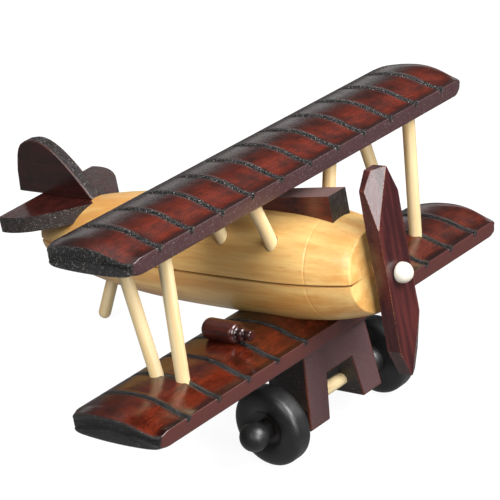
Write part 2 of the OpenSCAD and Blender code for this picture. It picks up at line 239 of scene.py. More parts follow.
@dataclass(frozen=True)
class Finish:
    """A surface finish. A child class says how its nodes go together.

    Args:
        name: the material's name.
        pattern: where its pattern takes its places from.
        fibre_mm: length and width of a wood fibre; real pores are finer, about 0.1 mm.
        figure_mm: length and width of a figure in the wood.
        rough: roughness of its satin or gloss.
        coat: weight of the clear coat.
    """

    name: str
    pattern: Pattern = Pattern.ALONG_GRAIN
    fibre_mm: tuple[float, float] = (9.0, 0.32)
    figure_mm: tuple[float, float] = (38.0, 3.4)
    rough: float = 0.4
    coat: float = 0.25

    def make(self) -> Material:
        """The Blender material of this finish."""
        material = bpy.data.materials.new(self.name)
        material.use_nodes = True
        tree = material.node_tree
        tree.nodes.clear()
        surface = self.surface(tree, self.places(tree))
        add(tree, "ShaderNodeOutputMaterial", inputs={"Surface": surface})
        return material

    def places(self, tree: NodeTree) -> NodeSocket:
        """The pattern's coordinates, in millimetres."""
        if self.pattern is Pattern.ALONG_GRAIN:
            return add(tree, "ShaderNodeAttribute", {"attribute_name": "grain"}, out="Vector")
        here = add(tree, "ShaderNodeTexCoord", out="Object")
        return add(tree, "ShaderNodeMapping", inputs={"Vector": here, "Scale": (1 / MM,) * 3})

    def streaks(self, tree: NodeTree, places: NodeSocket,
                size: tuple[float, float], detail: float = 3.0) -> NodeSocket:
        """Noise drawn out along the grain.

        Args:
            tree: the material's tree.
            places: coordinates in millimetres, X along the grain.
            size: length and width of one streak, in millimetres.
            detail: how many finer layers it has.

        Returns:
            The noise, about 0.5 on average.
        """
        scaled = add(tree, "ShaderNodeMapping", inputs={
            "Vector": places, "Scale": (1 / size[0], 1 / size[1], 1 / size[1])})
        return add(tree, "ShaderNodeTexNoise", inputs={
            "Vector": scaled, "Scale": 1.0, "Detail": detail, "Roughness": 0.6})

    def mask(self, tree: NodeTree, name: str) -> NodeSocket:
        """One of the piece's own mask attributes."""
        return add(tree, "ShaderNodeAttribute", {"attribute_name": name}, out="Fac")

    def surface(self, tree: NodeTree, places: NodeSocket) -> NodeSocket:
        """The finish's shader; a child class fills it in.

        Args:
            tree: the material's tree.
            places: coordinates in millimetres, X along the grain.

        Returns:
            The shader's output.
        """
        raise NotImplementedError


@dataclass(frozen=True)
class StainedLacquer(Finish):
    """Light hardwood, stained dark and brushed with gloss lacquer.

    The stain pools dark and thins to red where it was wiped. Its masks: one where the stain
    is thin, which on a propeller's pared facets lays a painted grey reflection instead; burn,
    where a tool charred the wood or end grain drank the stain; one where the lacquer is thin
    and matt, which also lays a painted pale reflection; and worn, where an edge has rubbed
    through. Charred and matt faces also get pale specks as painted glints.
    """

    dark: str = "#1d0d0b"
    body: str = "#2f110c"
    glow: str = "#79250e"
    # Greyish colour of matt faces: a painted pale reflection, as of the table or a lamp
    dull: str = "#4a3033"
    char: str = "#100e0d"
    bare: str = "#a9633c"
    # Colour of the painted glints
    glint_white: str = "#cfc8c4"
    rough: float = 0.24
    coat: float = 0.35
    # How strong the painted glints are
    glint_share: float = 0.6

    def thinned(self, tree: NodeTree, blotch: NodeSocket, fibre: NodeSocket,
                grit: NodeSocket) -> NodeSocket:
        """How thin the stain was wiped, broken up by the wood's texture; on a propeller's
        facets the same mask lays a painted reflection.
        """
        thin = maths(tree, "MULTIPLY", ramp(tree, blotch, 0.34, 0.6, start=0.25),
                     self.mask(tree, "glow"))
        thin = maths(tree, "MULTIPLY", thin, ramp(tree, fibre, 0.36, 0.6, start=0.4))
        return maths(tree, "MULTIPLY", thin, ramp(tree, grit, 0.36, 0.58, start=0.35))

    def surface(self, tree: NodeTree, places: NodeSocket) -> NodeSocket:
        """The stained and lacquered shader."""
        fibre = self.streaks(tree, places, self.fibre_mm)
        figure = self.streaks(tree, places, self.figure_mm, 4.0)
        blotch, grit, glint_noise = (noise(tree, places, cloud)
                              for cloud in (Cloud.BLOTCH, Cloud.GRIT, Cloud.GLINTS))
        burn, dull, worn = (self.mask(tree, name) for name in ("burn", "dull", "worn"))

        colour = blend(tree, ramp(tree, figure, 0.36, 0.66, soft=True), self.dark, self.body)
        colour = blend(tree, self.thinned(tree, blotch, fibre, grit), colour, self.glow)
        # Matt faces: a painted pale reflection mixed into the colour
        colour = blend(tree, maths(tree, "MULTIPLY", dull, 0.85), colour, self.dull)
        rubbed = maths(tree, "MULTIPLY", worn, ramp(tree, grit, 0.47, 0.66, soft=True))
        colour = blend(tree, rubbed, colour, self.bare)
        colour = blend(tree, burn, colour, self.char)
        # Painted glints: pale specks on charred and matt faces, standing in for glints of
        # light
        glint_share = maths(tree, "MULTIPLY", ramp(tree, glint_noise, 0.6, 0.68),
                        maths(tree, "MULTIPLY_ADD", dull, 0.35, burn), clamp=True)
        glint_share = maths(tree, "MULTIPLY", glint_share, self.glint_share)
        colour = blend(tree, glint_share, colour, self.glint_white)

        rough = maths(tree, "MULTIPLY_ADD", blotch, 0.2, self.rough - 0.13)
        rough = maths(tree, "MULTIPLY_ADD", burn, 0.04, rough)
        rough = maths(tree, "MULTIPLY_ADD", dull, 0.25, rough)
        # Fibres first, then the charred faces' coarse grain, then the brush's slow waves
        bumps = bump(tree, fibre, 0.22, 0.12 * MM)
        coarse = maths(tree, "MULTIPLY", grit, maths(tree, "MULTIPLY_ADD", burn, 0.9, 0.015))
        bumps = bump(tree, coarse, 0.9, 0.7 * MM, Normal=bumps)
        brush = bump(tree, blotch, 0.25, 0.6 * MM, Normal=bumps)
        return add(tree, "ShaderNodeBsdfPrincipled", inputs={
            "Base Color": colour, "Roughness": rough, "Normal": brush, "IOR": 1.5,
            "Coat Weight": self.coat, "Coat Roughness": 0.07, "Coat Normal": bumps})


@dataclass(frozen=True)
class ClearWood(Finish):
    """Pale lime or poplar under a satin clear lacquer: soft streaks and a warm sheen.

    Its mask lays painted shade in the saw lines and holes, and darkens end grain.
    """

    light: str = "#f5ca80"
    deep: str = "#dfa156"
    line: str = "#bd8340"
    # Colour of the painted shade in saw lines and holes, and of darker end grain
    dark: str = "#6a3d1a"

    def surface(self, tree: NodeTree, places: NodeSocket) -> NodeSocket:
        """The clear-lacquered shader."""
        fibre = self.streaks(tree, places, self.fibre_mm)
        figure = self.streaks(tree, places, self.figure_mm, 4.0)
        colour = blend(tree, ramp(tree, figure, 0.34, 0.66, soft=True), self.light, self.deep)
        colour = blend(tree, ramp(tree, fibre, 0.56, 0.78, end=0.5), colour, self.line)
        # Painted shade in saw lines and holes, and darker end grain
        colour = blend(tree, self.mask(tree, "shade"), colour, self.dark)
        return add(tree, "ShaderNodeBsdfPrincipled", inputs={
            "Base Color": colour, "IOR": 1.5,
            "Roughness": maths(tree, "MULTIPLY_ADD", figure, 0.16, self.rough - 0.08),
            "Normal": bump(tree, fibre, 0.25, 0.1 * MM),
            "Coat Weight": self.coat, "Coat Roughness": 0.2})


@dataclass(frozen=True)
class BrushedPaint(Finish):
    """Satin paint over turned wood: an even colour, a little grain, rubbed through in places.

    Its mask is worn, where the paint is thin.
    """

    paint: str = "#171718"
    thin: str = "#2c2c2d"
    bare: str = "#5d4230"
    rough: float = 0.36
    coat: float = 0.3

    def surface(self, tree: NodeTree, places: NodeSocket) -> NodeSocket:
        """The painted shader."""
        fibre = self.streaks(tree, places, self.fibre_mm)
        patch = noise(tree, places, Cloud.PATCH)
        grit = noise(tree, places, Cloud.BRUSH)
        colour = blend(tree, patch, self.paint, self.thin)
        ragged = maths(tree, "MULTIPLY_ADD", grit, 0.5, self.mask(tree, "worn"))
        colour = blend(tree, ramp(tree, ragged, 0.72, 0.95), colour, self.bare)
        bumps = bump(tree, fibre, 0.3, 0.1 * MM)
        return add(tree, "ShaderNodeBsdfPrincipled", inputs={
            "Base Color": colour, "IOR": 1.5,
            "Roughness": maths(tree, "MULTIPLY_ADD", patch, 0.3, self.rough - 0.15),
            "Normal": bump(tree, grit, 0.5, 0.25 * MM, Normal=bumps),
            "Coat Weight": self.coat, "Coat Roughness": 0.25})


class Finishes:
    """Every finish of the plane, made once."""

    def __init__(self) -> None:
        # Thick gloss lacquer over a stain that was wiped thin along each rib
        self.wing = StainedLacquer("wing_rosewood_stain").make()
        # Its matt colour is a painted pale reflection on the wing's front faces
        self.lower = StainedLacquer("lower_wing_rosewood_stain", dark="#190a09",
                                    body="#34120d", glow="#742a15", dull="#5a2f2b",
                                    rough=0.2, glint_share=0.12).make()
        # The same stain on small flat pieces, brushed once
        # Its greyish matt colour is a painted pale reflection on the block's front faces
        self.block = StainedLacquer("block_rosewood_stain", dark="#2a1311", body="#47201a",
                                    dull="#5c4344", rough=0.32, coat=0.2,
                                    glint_share=0.3).make()
        # Its pale matt colour is a painted reflection of a lamp on the block's top
        self.cockpit = StainedLacquer("cockpit_rosewood_stain", body="#4a1d14",
                                      dull="#806460", rough=0.34, coat=0.2,
                                      glint_share=0.3).make()
        # On the propeller the thin-stain mask marks the pared facets, and this greyish colour
        # is a painted reflection on them
        self.blade = StainedLacquer("propeller_rosewood_stain", dark="#35181a",
                                    body="#552725", glow="#4c383a", bare="#d08a50",
                                    rough=0.3, coat=0.25).make()
        self.tail = StainedLacquer("tail_rosewood_stain", dark="#1c0e0d", body="#2d1210",
                                   glow="#5a2018", rough=0.3, coat=0.3).make()
        self.gun = StainedLacquer("gun_rosewood_stain", dark="#2a1211", body="#4a1f19",
                                  glow="#6d3325", rough=0.2, coat=0.6).make()
        # Pale turned wood, satin
        self.body = ClearWood("body_pale_wood", fibre_mm=(16.0, 0.5),
                              figure_mm=(70.0, 7.0)).make()
        self.dowel = ClearWood("dowel_pale_wood", light="#f4deb0", deep="#e8cb95",
                               line="#cfa868", fibre_mm=(12.0, 0.3),
                               figure_mm=(40.0, 2.0)).make()
        self.hidden = ClearWood("hidden_dowel_wood", Pattern.IN_PLACE, light="#f0dcae",
                                deep="#e2c692").make()
        # Satin black paint, brushed on turned wood
        self.black = BrushedPaint("black_satin_paint").make()
        # Cream paint, a little glossy
        self.cream = BrushedPaint("cream_paint", paint="#f4efe2", thin="#e9e0cc",
                                  bare="#cdbb98", rough=0.35).make()


# ---------------------------------------------------------------- mesh helpers


def bend(a: tuple, b: tuple, c: tuple, d: tuple, steps: int) -> np.ndarray:
    """Points on a curve that leaves a towards b and arrives at d from c.

    Args:
        a: first point.
        b: the point it heads for.
        c: the point it arrives from.
        d: last point.
        steps: number of stretches.

    Returns:
        steps + 1 points.
    """
    t = np.linspace(0, 1, steps + 1)[:, None]
    a, b, c, d = (np.array(p, float) for p in (a, b, c, d))
    return (a * (1 - t) ** 3 + b * 3 * t * (1 - t) ** 2
            + c * 3 * t * t * (1 - t) + d * t ** 3)


def smooth(x: np.ndarray | float, low: float, high: float) -> np.ndarray:
    """0 below low, 1 above high and a soft step between them."""
    t = np.clip((np.asarray(x, float) - low) / (high - low), 0, 1)
    return t * t * (3 - 2 * t)


def ease_corners(points: np.ndarray, radius: float, steps: int = 3,
                 sharp: float = 25.0) -> np.ndarray:
    """Rounds the sharp corners of a closed outline.

    Args:
        points: the outline's corners, in order.
        radius: how far from a corner the rounding starts.
        steps: stretches along each rounding.
        sharp: turn in degrees above which a corner is rounded.

    Returns:
        The new outline.
    """
    count, made = len(points), []
    for i in range(count):
        before, here, after = points[i - 1], points[i], points[(i + 1) % count]
        inward, onward = here - before, after - here
        size_in, size_on = np.linalg.norm(inward), np.linalg.norm(onward)
        turn = np.dot(inward, onward) / max(size_in * size_on, 1e-9)
        if math.degrees(math.acos(max(-1.0, min(1.0, turn)))) < sharp:
            made.append(here)
            continue
        start = here - inward / size_in * min(radius, size_in / 2)
        end = here + onward / size_on * min(radius, size_on / 2)
        made.extend(bend(start, start + (here - start) * 0.6, end + (here - end) * 0.6,
                         end, steps))
    return np.array(made)


def refine(points: np.ndarray, longest: float) -> np.ndarray:
    """A closed outline with no stretch longer than longest."""
    made = []
    for i, here in enumerate(points):
        after = points[(i + 1) % len(points)]
        parts = max(1, math.ceil(np.linalg.norm(after - here) / longest))
        made.extend(here + (after - here) * k / parts for k in range(parts))
    return np.array(made)


def outward(points: np.ndarray) -> np.ndarray:
    """Unit normals of a closed 2-D outline that runs anticlockwise, pointing out of it."""
    along = np.roll(points, -1, 0) - np.roll(points, 1, 0)
    along /= np.maximum(np.linalg.norm(along, axis=1), 1e-9)[:, None]
    return np.stack([along[:, 1], -along[:, 0]], 1)


def skin(rings: np.ndarray) -> tuple[np.ndarray, list]:
    """Joins closed rings into one closed skin, with a fan over each end.

    Args:
        rings: rings x points x 3.

    Returns:
        Vertices and faces.
    """
    count, size = rings.shape[:2]
    verts = rings.reshape(-1, 3)
    faces = []
    for i in range(count - 1):
        for k in range(size):
            a, b = i * size + k, i * size + (k + 1) % size
            faces.append((a, b, b + size, a + size))
    ends = np.array([rings[0].mean(0), rings[-1].mean(0)])
    first, last = len(verts), len(verts) + 1
    for k in range(size):
        faces.append((first, (k + 1) % size, k))
        top = (count - 1) * size
        faces.append((last, top + k, top + (k + 1) % size))
    return np.concatenate([verts, ends]), faces


def mesh_of(name: str, verts: np.ndarray, faces: list, merge: bool = True) -> Mesh:
    """A smooth mesh with its faces turned outwards.

    Args:
        name: the mesh's name.
        verts: its vertices.
        faces: its faces.
        merge: whether doubles are merged, which renumbers the vertices.

    Returns:
        The mesh.
    """
    mesh = bpy.data.meshes.new(name)
    mesh.from_pydata([tuple(v) for v in verts], [], faces)
    work = bmesh.new()
    work.from_mesh(mesh)
    if merge:
        bmesh.ops.remove_doubles(work, verts=work.verts, dist=1e-4)
        bmesh.ops.dissolve_degenerate(work, edges=work.edges, dist=1e-5)
    bmesh.ops.recalc_face_normals(work, faces=work.faces)
    work.to_mesh(mesh)
    work.free()
    mesh.shade_smooth()
    return mesh


def points_of(mesh: Mesh) -> np.ndarray:
    """A mesh's vertices as an array."""
    flat = np.zeros(len(mesh.vertices) * 3)
    mesh.vertices.foreach_get("co", flat)
    return flat.reshape(-1, 3)


def store(mesh: Mesh, **layers: np.ndarray) -> None:
    """Stores named values on a mesh's points: a mask, or the grain's coordinates."""
    for name, values in layers.items():
        values = np.asarray(values, np.float32)
        kind = "FLOAT_VECTOR" if values.ndim == 2 else "FLOAT"
        layer = mesh.attributes.get(name) or mesh.attributes.new(name, kind, "POINT")
        layer.data.foreach_set("vector" if values.ndim == 2 else "value", values.ravel())


def evaluated(carrier: Object) -> Mesh:
    """The plain mesh that an object's modifiers make; the object is removed."""
    bpy.context.view_layer.update()
    graph = bpy.context.evaluated_depsgraph_get()
    mesh = bpy.data.meshes.new_from_object(carrier.evaluated_get(graph))
    bpy.data.objects.remove(carrier)
    return mesh


def carrier_of(mesh: Mesh) -> Object:
    """A passing object that carries a mesh while modifiers work on it."""
    made = bpy.data.objects.new("carrier", mesh)
    bpy.context.scene.collection.objects.link(made)
    return made


def deliver(name: str, mesh: Mesh, own: OwnFrame | None, nodes: tuple[str, ...],
            body: str, material: Material) -> Object:
    """Sets a finished mesh in place as a piece of the plane.

    Args:
        name: the piece's name.
        mesh: its mesh, in millimetres of its own frame, or in place if own is None.
        own: that frame.
        nodes: the CAD nodes it stands for.
        body: the CAD body it rides on.
        material: its material.

    Returns:
        The object.
    """
    if own is not None:
        mesh.transform(own.matrix())
    mesh.name = name
    mesh.materials.clear()
    mesh.materials.append(material)
    made = bpy.data.objects.new(name, mesh)
    bpy.context.scene.collection.objects.link(made)
    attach(made, body)
    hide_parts(*nodes)
    log.info("%s: %d faces on %s", name, len(mesh.polygons), body)
    return made


# ---------------------------------------------------------------- rules in Geometry Nodes


class Rule:
    """A Geometry Nodes tree whose inputs are set by name.

    Args:
        name: the tree's name.
        inputs: input name to socket type.
    """

    def __init__(self, name: str, inputs: dict[str, str]) -> None:
        self.tree = bpy.data.node_groups.new(name, "GeometryNodeTree")
        self.ids: dict[str, str] = {}
        face = self.tree.interface
        face.new_socket("Geometry", in_out="INPUT", socket_type="NodeSocketGeometry")
        for label, kind in inputs.items():
            made = face.new_socket(label, in_out="INPUT", socket_type=kind)
            self.ids[label] = made.identifier
        face.new_socket("Geometry", in_out="OUTPUT", socket_type="NodeSocketGeometry")
        self.entry = self.tree.nodes.new("NodeGroupInput")

    def close(self, shape: NodeSocket) -> None:
        """Ends the tree in real geometry with its finish on it."""
        real = add(self.tree, "GeometryNodeRealizeInstances", inputs={0: shape})
        done = add(self.tree, "GeometryNodeSetMaterial",
                   inputs={"Geometry": real, "Material": self.entry.outputs["Finish"]})
        add(self.tree, "NodeGroupOutput", inputs={0: done})

    def apply(self, carrier: Object, **values: object) -> None:
        """Adds the rule to an object with these values for its inputs."""
        modifier = carrier.modifiers.new(self.tree.name, "NODES")
        modifier.node_group = self.tree
        for label, value in values.items():
            modifier[self.ids[label]] = value


def groove_rule() -> Rule:
    """The rule that carves evenly spaced grooves across a wing.

    Returns:
        A rule with inputs First, Pitch, Count, Half, Depth and Finish.
    """
    rule = Rule("carve_grooves", {
        "First": "NodeSocketFloat", "Pitch": "NodeSocketFloat", "Count": "NodeSocketInt",
        "Half": "NodeSocketFloat", "Depth": "NodeSocketFloat",
        "Finish": "NodeSocketMaterial"})
    tree, entry = rule.tree, rule.entry.outputs
    place = add(tree, "GeometryNodeInputPosition")
    wander = noise(tree, place, Cloud.WANDER)
    sink, before = (add(tree, "GeometryNodeInputNamedAttribute", {"data_type": "FLOAT"},
                        {"Name": name}) for name in ("sink", "burn"))

    # The nearest groove's middle line, which wanders a little as a hand-held tool does
    across = add(tree, "ShaderNodeSeparateXYZ", inputs={0: place}, out="Y")
    number = maths(tree, "SUBTRACT", across, entry["First"])
    number = maths(tree, "ROUND", maths(tree, "DIVIDE", number, entry["Pitch"]))
    number = maths(tree, "MAXIMUM", number, 0.0)
    number = maths(tree, "MINIMUM", number, maths(tree, "SUBTRACT", entry["Count"], 1.0))
    middle = maths(tree, "MULTIPLY_ADD", number, entry["Pitch"], entry["First"])
    sway = maths(tree, "MULTIPLY", maths(tree, "SUBTRACT", wander, 0.5), 0.35)
    middle = maths(tree, "ADD", middle, sway)
    apart = maths(tree, "ABSOLUTE", maths(tree, "SUBTRACT", across, middle))

    # The cut, as deep as the wing lets it sink
    cut = ramp(tree, apart, 0.15, entry["Half"], start=1.0, end=0.0, soft=True)
    depth = maths(tree, "MULTIPLY", maths(tree, "MULTIPLY", cut, sink), entry["Depth"])
    depth = maths(tree, "MULTIPLY", depth, maths(tree, "ADD", wander, 0.5))
    drop = add(tree, "ShaderNodeCombineXYZ",
               inputs={"Z": maths(tree, "MULTIPLY", depth, -1.0)})
    moved = add(tree, "GeometryNodeSetPosition",
                inputs={"Geometry": entry["Geometry"], "Offset": drop})

    # The char that the tool leaves in the groove and on its lips
    inner, outer = (maths(tree, "MULTIPLY", entry["Half"], share) for share in (0.75, 2.1))
    char = ramp(tree, apart, inner, outer, start=1.0, end=0.0, soft=True)
    char = maths(tree, "MAXIMUM", before, maths(tree, "MULTIPLY", char, sink))
    rule.close(add(tree, "GeometryNodeStoreNamedAttribute",
                   {"data_type": "FLOAT", "domain": "POINT"},
                   {"Geometry": moved, "Name": "burn", "Value": char}))
    return rule


def dowel_rule() -> Rule:
    """The rule that draws a round dowel between two points.

    Returns:
        A rule with inputs From, To, Radius and Finish.
    """
    rule = Rule("draw_dowel", {
        "From": "NodeSocketVector", "To": "NodeSocketVector",
        "Radius": "NodeSocketFloat", "Finish": "NodeSocketMaterial"})
    tree, entry = rule.tree, rule.entry.outputs
    line = add(tree, "GeometryNodeCurvePrimitiveLine",
               inputs={"Start": entry["From"], "End": entry["To"]})
    steps = add(tree, "GeometryNodeResampleCurve", inputs={"Curve": line, "Count": 40})
    ring = add(tree, "GeometryNodeCurvePrimitiveCircle",
               inputs={"Resolution": 40, "Radius": entry["Radius"]})
    tube = add(tree, "GeometryNodeCurveToMesh",
               inputs={"Curve": steps, "Profile Curve": ring, "Fill Caps": True})
    rule.close(tube)
    return rule


# ---------------------------------------------------------------- wings


@dataclass(frozen=True)
class GrooveRun:
    """A run of evenly spaced grooves, counted from starboard to port.

    Args:
        first: where the first groove is, in millimetres from the middle.
        count: how many there are.
    """

    first: float
    count: int


@dataclass
class RibbedWing:
    """A wing carved from one board: flat underside, arched top and grooves that mark ribs."""

    node: str
    material: Material
    chord: float
    span: float
    front: float
    under: float
    runs: tuple[GrooveRun, ...]
    pitch: float = 15.7
    edge: float = 6.4
    camber: float = 4.5
    set_back: float = 1.1
    bow: float = 1.6
    plan_ease: float = 1.3
    ease: float = 0.9
    droop: float = 0.9
    sanded: float = 0.8
    groove_half: float = 0.95
    groove_depth: float = 1.5
    glow_reach: float = 0.62
    # How far from the end of the span each of a tip's changes begins, and how far from a
    # corner sanding reaches
    bow_from: float = 9.0
    droop_from: float = 4.5
    sand_from: float = 5.0
    sand_reach: float = 2.6

    def outline(self) -> np.ndarray:
        """The wing's side outline, anticlockwise from the front face's top."""
        top = self.edge + self.camber
        rise = bend((0, self.edge), (-0.17 * self.chord, self.edge),
                    (-0.24 * self.chord, top), (-0.52 * self.chord, top), 24)
        fall = bend((-0.52 * self.chord, top), (-0.78 * self.chord, top),
                    (-0.93 * self.chord, self.edge + 0.55 * self.camber),
                    (-self.chord, self.edge), 24)
        under = [(-self.chord + self.set_back / 2, 0), (-self.set_back, 0)]
        points = np.concatenate([rise, fall[1:], np.array(under)])
        return refine(ease_corners(points, 0.7, 4), 1.6)

    def sanding(self) -> list[tuple[np.ndarray, np.ndarray]]:
        """Each corner of a tip's outline and how far hand sanding drew it in."""
        front, back = -self.set_back, -self.chord + self.set_back / 2
        corners = [((front, 0.0), (-1.3, 1.5)), ((0.0, self.edge), (-0.7, -0.3)),
                   ((back, 0.0), (0.9, 0.9)), ((-self.chord, self.edge), (1.3, -0.4))]
        return [(np.array(corner), self.sanded * np.array(pull))
                for corner, pull in corners]

    def stations(self) -> list[tuple[float, float]]:
        """Places along the span, each with how far its ring is drawn in."""
        half = self.span / 2
        beside = (0.25, 0.5, 0.75, 1.0, 1.3, 1.7, 2.4)
        close = [-b for b in beside] + [0, *beside]
        places = {round(run.first + i * self.pitch + near, 3)
                  for run in self.runs for i in range(run.count) for near in close}
        gaps = np.arange(-half + 1.5, half - 1.4, 2.2)
        places |= {round(g, 3) for g in gaps
                   if all(abs(g - p) > 0.9 for p in places)}
        inner = [(y, 0.0) for y in sorted(places) if abs(y) < half - self.ease - 0.2]
        turn = [(half - self.ease * (1 - math.sin(a)), self.ease * (1 - math.cos(a)))
                for a in np.linspace(0, math.pi / 2, 6)]
        turn.append((half, self.ease + 0.6))
        return ([(-y, inset) for y, inset in reversed(turn)] + inner + turn)

    def blank(self) -> Mesh:
        """The uncarved board, with the masks that the carving and the finish read."""
        line = self.outline()
        normals = outward(line)
        half = self.span / 2
        share = np.clip(-line[:, 0] / self.chord, 0, 1)
        on_top = smooth(normals[:, 1], 0.25, 0.6)
        upper = smooth(line[:, 1], self.edge - 1.7, self.edge)
        sink = np.maximum(on_top, upper)
        off = (share - 0.5) * 2
        rings, masks = [], []
        for y, inset in self.stations():
            near_tip = smooth(abs(y), half - self.bow_from, half - 0.5)
            low = smooth(abs(y), half - self.droop_from, half) * self.droop * sink
            sanded = smooth(abs(y), half - self.sand_from, half)
            flat = line - normals * inset
            for corner, pull in self.sanding():
                near = np.exp(-np.hypot(*(line - corner).T) / self.sand_reach)
                flat = flat + np.outer(sanded * near, pull)
            drawn_in = self.bow * off ** 2 + self.plan_ease * off ** 16
            bowed = math.copysign(1, y) * (abs(y) - drawn_in * near_tip)
            rings.append(np.stack([self.front + flat[:, 0], bowed,
                                   flat[:, 1] - low - self.under], 1))
            tip = np.full(len(line), float(smooth(inset, 0.05, 0.5 * self.ease)))
            # The last mask marks the front faces: matt, with a painted pale reflection of the
            # table
            masks.append(np.stack([sink * (1 - tip), share, tip,
                                   smooth(normals[:, 0], 0.5, 0.85)], 1))
        verts, faces = skin(np.array(rings))
        values = np.concatenate(masks + [np.array([[0, 0.5, 1, 0]] * 2)])
        mesh = mesh_of(self.node, verts, faces, merge=False)
        sink, share, burn, dull = values.T
        glow = smooth(share, 0.02, 0.1) * (1 - smooth(share, 0.22, self.glow_reach))
        store(mesh, sink=sink, glow=glow, burn=burn, dull=dull, worn=0 * dull)
        return mesh

    def build(self, rule: Rule) -> Object:
        """Carves the grooves and sets the wing in place.

        Args:
            rule: the groove rule.

        Returns:
            The wing.
        """
        carrier = carrier_of(self.blank())
        for run in self.runs:
            rule.apply(carrier, First=run.first, Pitch=self.pitch, Count=run.count,
                       Half=self.groove_half, Depth=self.groove_depth,
                       Finish=self.material)
        mesh = evaluated(carrier)
        mesh.shade_smooth()
        co = points_of(mesh)
        store(mesh, grain=co[:, [1, 0, 2]])
        return deliver(self.node, mesh, PLANE, (self.node,), "airframe",
                       self.material)


# ---------------------------------------------------------------- turned pieces


@dataclass
class Turning:
    """A piece turned on a lathe, drawn as an outline of (along, radius) about its axis."""

    name: str
    outline: np.ndarray
    material: Material
    slot: Slot
    sides: int = 72

    def rings(self, angle_of: Callable[[float], np.ndarray] | None = None) -> Mesh:
        """The turned skin about +X, in millimetres.

        Args:
            angle_of: gives the angles of a ring from its radius, if they aren't even.

        Returns:
            The closed mesh.
        """
        even = np.linspace(0, 2 * math.pi, self.sides, endpoint=False)
        made = []
        for along, radius in self.outline:
            turn = even if angle_of is None else angle_of(radius)
            radius = max(radius, 1e-5)
            made.append(np.stack([np.full(len(turn), along), radius * np.cos(turn),
                                  radius * np.sin(turn)], 1))
        verts, faces = skin(np.array(made))
        return mesh_of(self.name, verts, faces)

    def stand(self, mesh: Mesh, origin: tuple[float, float, float],
              axis: Vector) -> None:
        """Turns the mesh's +X to an axis and moves its zero to a point."""
        turn = axis.to_track_quat("X", "Z").to_matrix().to_4x4()
        mesh.transform(Matrix.Translation(origin) @ turn)

    def set_down(self, mesh: Mesh, own: OwnFrame) -> Object:
        """Sets the finished mesh on the airframe, in place of the node it is named for."""
        return deliver(self.name, mesh, own, (self.name,), "airframe",
                       self.material)


def cabane_point(x: float, side: int, z: float) -> tuple[float, float, float]:
    """The point at height z on the axis of the cabane strut at x on one side."""
    return (x, side * (CABANE_Y + CABANE_SPLAY * z), z)


